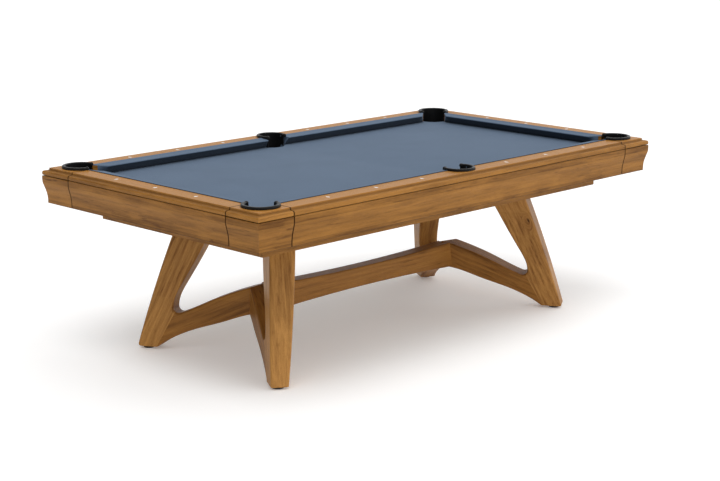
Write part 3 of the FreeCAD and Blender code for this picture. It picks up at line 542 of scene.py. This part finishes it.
# ---- bed cloth --------------------------------------------------------------------------------
def pocket_places():
    """Each pocket's centre and reach, with the outward direction."""
    root = math.sqrt(0.5)
    places = []
    for sx, sy in CORNERS.values():
        outward = Vector((sx * root, sy * root))
        centre = Vector((sx * NOSE_X, sy * NOSE_Y)) + outward * CORNER_POCKET[0]
        places.append((centre, CORNER_POCKET[1], outward))
    for sy in (-1, 1):
        outward = Vector((0.0, sy))
        centre = Vector((0.0, sy * NOSE_Y)) + outward * SIDE_POCKET[0]
        places.append((centre, SIDE_POCKET[1], outward))
    return places


def bed_cloth():
    """One stretched sheet whose edge rolls over the slate into each pocket."""
    roll = 0.004
    steps = 40
    drop = BED_TOP - SLATE_BOTTOM - 0.001
    inside_steps = 5
    verts = []
    faces = []
    outline = []
    corner_points = {}
    for (centre, reach, outward), key in zip(pocket_places(), list(CORNERS) + ["front", "back"]):
        side = Vector((-outward.y, outward.x))
        rings = []
        levels = [(reach + roll, 0.0)]
        for k in range(1, inside_steps + 1):
            turn = math.pi / 2.0 * k / inside_steps
            levels.append((reach + roll * (1.0 - math.sin(turn)) - 0.0004, -roll * (1.0 - math.cos(turn))))
        levels.append((reach - 0.0006, -drop))
        for radius, down in levels:
            ring = []
            for i in range(steps + 1):
                turn = math.pi / 2.0 + math.pi * i / steps
                spot = centre + outward * (radius * math.cos(turn)) + side * (radius * math.sin(turn))
                ring.append(len(verts))
                verts.append((spot.x, spot.y, BED_TOP + down))
            rings.append(ring)
        for upper, lower in zip(rings, rings[1:]):
            for i in range(steps):
                faces.append((upper[i], upper[i + 1], lower[i + 1], lower[i]))
        corner_points[key] = (centre, outward, side, rings[0])
    order = ["front_left", "front", "front_right", "back_right", "back", "back_left"]
    low, high = CLOTH_LOW, CLOTH_HIGH
    for key in order:
        centre, outward, side, ring = corner_points[key]
        chain = [verts[i] for i in ring]
        ends = []
        for end in (chain[0], chain[-1]):
            spot = Vector(end[:2])
            limits = []
            for axis in (0, 1):
                if abs(outward[axis]) > 1e-6:
                    edge = high[axis] if outward[axis] > 0 else low[axis]
                    limits.append((edge - spot[axis]) / outward[axis])
            spot = spot + outward * min(limits)
            ends.append(len(verts))
            verts.append((spot.x, spot.y, BED_TOP))
        outline += [ends[1]] + list(reversed(ring)) + [ends[0]]
    faces.append(tuple(outline))
    piece = mesh_object("bed_cloth_sheet", verts, faces, bed_wool, 60.0)
    mesh = piece.data
    bm = bmesh.new()
    bm.from_mesh(mesh)
    big = [f for f in bm.faces if len(f.verts) > 6]
    bmesh.ops.triangulate(bm, faces=big)
    bm.to_mesh(mesh)
    bm.free()
    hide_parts("bed_cloth")


bed_cloth()


# ---- cushions -----------------------------------------------------------------------------------
def arc(centre, radius, start, stop, count):
    """Points on an arc in a section, with angles in degrees."""
    points = []
    for i in range(count + 1):
        turn = math.radians(start + (stop - start) * i / count)
        points.append((centre[0] + radius * math.cos(turn), centre[1] + radius * math.sin(turn)))
    return points


def cushion_profile():
    """The cloth-covered section, measured outward from the nose and up from the rail top."""
    top = RAIL_TOP
    profile = [(0.0496, top - 0.0042), (0.0498, top - 0.0008), (0.0499, top + 0.0012)]
    profile += arc((0.0478, top + 0.0014), 0.0020, 0.0, 100.0, 4)
    profile += [(0.0440, top + 0.0026), (0.0380, top + 0.0008), (0.0300, top - 0.0010)]
    profile += [(0.0220, top - 0.0021), (0.0130, top - 0.0027), (0.0060, top - 0.0033)]
    profile += arc((0.0034, NOSE_Z + 0.0001), 0.0034, 75.0, 222.0, 9)
    profile += [(0.0060, NOSE_Z - 0.0052), (0.0140, NOSE_Z - 0.0178), (0.0226, BED_TOP + 0.0040)]
    profile += [(0.0250, BED_TOP + 0.0031), (0.0268, BED_TOP + 0.0024), (0.0280, BED_TOP + 0.0004)]
    profile += [(0.0298, BED_TOP + 0.0003), (0.0300, BED_TOP + 0.0030), (0.0300, top - 0.0019)]
    profile += [(0.0479, top - 0.0009), (0.0481, top - 0.0042)]
    return profile


def along_side(side, a, along, z):
    """A point of a cushion's section on one side of the table."""
    if side == "right":
        return (NOSE_X + a, along, z)
    if side == "left":
        return (-NOSE_X - a, along, z)
    if side == "back":
        return (along, NOSE_Y + a, z)
    return (along, -NOSE_Y - a, z)


def prism(side, profile, low, high, low_slope, high_slope, limit, count):
    """A section stretched between two slanted ends, no further than the rail, in even steps."""
    verts = []
    for i in range(count + 1):
        t = i / count
        for a, z in profile:
            start = max(low - a * low_slope, -limit)
            stop = min(high + a * high_slope, limit)
            verts.append(along_side(side, a, start + (stop - start) * t, z))
    size = len(profile)
    faces = [tuple(range(size)), tuple(range(count * size, (count + 1) * size))]
    for i in range(count):
        for k in range(size):
            a = i * size + k
            b = i * size + (k + 1) % size
            faces.append((a, b, b + size, a + size))
    return verts, faces


def facing_cloth(verts, faces, side, end, sign, limit):
    """Carry the cloth from a cushion's end over the rail's end, as far as the open joint."""
    near = RUBBER_W - 0.001
    far = (limit - abs(end)) / CORNER_FACING
    first = len(verts)
    for a in (near, far):
        for lift in (0.0004, 0.0010):
            along = end + sign * (a * CORNER_FACING - lift)
            for z in (BED_TOP + 0.0003, RAIL_TOP - 0.0012):
                verts.append(along_side(side, a, along, z))
    for quad in ((0, 1, 3, 2), (4, 6, 7, 5), (0, 4, 5, 1), (2, 3, 7, 6), (0, 2, 6, 4), (1, 5, 7, 3)):
        faces.append(tuple(first + i for i in quad))


def cushions():
    """Six cushions, with the cloth carried round onto their end faces."""
    long_end = NOSE_X - CORNER_MOUTH
    short_end = NOSE_Y - CORNER_MOUTH
    spans = {"left": ("left", -short_end, short_end, CORNER_FACING, CORNER_FACING),
             "right": ("right", -short_end, short_end, CORNER_FACING, CORNER_FACING)}
    for side in ("front", "back"):
        spans[side + "_left"] = (side, -long_end, -SIDE_MOUTH, CORNER_FACING, SIDE_FACING)
        spans[side + "_right"] = (side, SIDE_MOUTH, long_end, SIDE_FACING, CORNER_FACING)
    for name, (side, low, high, low_slope, high_slope) in spans.items():
        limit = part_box("rail_front")[1][0] if side in ("front", "back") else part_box("rail_right")[1][1]
        verts, faces = prism(side, cushion_profile(), low, high, low_slope, high_slope, limit, 24)
        for end, slope, sign in ((low, low_slope, -1.0), (high, high_slope, 1.0)):
            if slope == CORNER_FACING:
                facing_cloth(verts, faces, side, end, sign, limit)
        piece = mesh_object("cushion_cloth_" + name, verts, faces, cushion_wool, 50.0)
        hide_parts("cushion_" + name)


cushions()

# ---- floor, light and camera ---------------------------------------------------------------------
floor_shader = Shader("studio_floor")
floor_tone = floor_shader.noise(floor_shader.place(), 3.0, 3.0)
floor_colour = floor_shader.ramp(floor_tone, (0.3, (0.92, 0.92, 0.92)), (0.7, (0.94, 0.94, 0.94)))
floor_material = floor_shader.finish(Base_Color=floor_colour, Roughness=0.9, Specular_IOR_Level=0.1,
                                       Emission_Color=(1.0, 1.0, 1.0), Emission_Strength=0.15)
floor_mesh = bpy.data.meshes.new("studio_floor")
half = 30.0
floor_mesh.from_pydata([(-half, -half, 0.0), (half, -half, 0.0), (half, half, 0.0), (-half, half, 0.0)], [],
                       [(0, 1, 2, 3)])
floor_mesh.materials.append(floor_material)
floor = bpy.data.objects.new("studio_floor", floor_mesh)
bpy.context.scene.collection.objects.link(floor)


def sun(name, direction, angle, strength):
    """A broad, distant lamp that shines along a direction."""
    data = bpy.data.lights.new(name, "SUN")
    data.angle = math.radians(angle)
    data.energy = strength
    lamp = bpy.data.objects.new(name, data)
    lamp.rotation_euler = Vector(direction).to_track_quat("-Z", "Y").to_euler()
    bpy.context.scene.collection.objects.link(lamp)


sun("key", (0.42, 0.24, -1.0), 40.0, 1.1)

world = bpy.data.worlds.new("studio_world")
world.use_nodes = True
sky = world.node_tree
direction = sky.nodes.new("ShaderNodeTexCoord")
slant = sky.nodes.new("ShaderNodeVectorMath")
slant.operation = "DOT_PRODUCT"
slant.inputs[1].default_value = (0.50, -0.35, 0.0)
level = sky.nodes.new("ShaderNodeMath")
level.operation = "ADD"
level.inputs[1].default_value = 0.82
sky.links.new(direction.outputs["Generated"], slant.inputs[0])
sky.links.new(slant.outputs["Value"], level.inputs[0])
sky.links.new(level.outputs[0], sky.nodes["Background"].inputs["Strength"])
sky.nodes["Background"].inputs["Color"].default_value = (1.0, 1.0, 1.0, 1.0)
bpy.context.scene.world = world
bpy.context.scene.view_settings.view_transform = "Standard"

AZIMUTH = math.radians(-45.162)
ELEVATION = math.radians(12.906)
back = Vector((math.sin(AZIMUTH) * math.cos(ELEVATION), -math.cos(AZIMUTH) * math.cos(ELEVATION),
               math.sin(ELEVATION)))
right = Vector((math.cos(AZIMUTH), math.sin(AZIMUTH), 0.0))
up = back.cross(right)
camera_data = bpy.data.cameras.new("camera")
camera_data.sensor_width = 36.0
camera_data.lens = 85.165
camera_data.clip_end = 200.0
camera = bpy.data.objects.new("camera", camera_data)
camera.matrix_world = Matrix((right, up, back)).transposed().to_4x4()
camera.location = (-5.537, -5.505, 2.204)
bpy.context.scene.collection.objects.link(camera)
bpy.context.scene.camera = camera

bpy.context.view_layer.update()
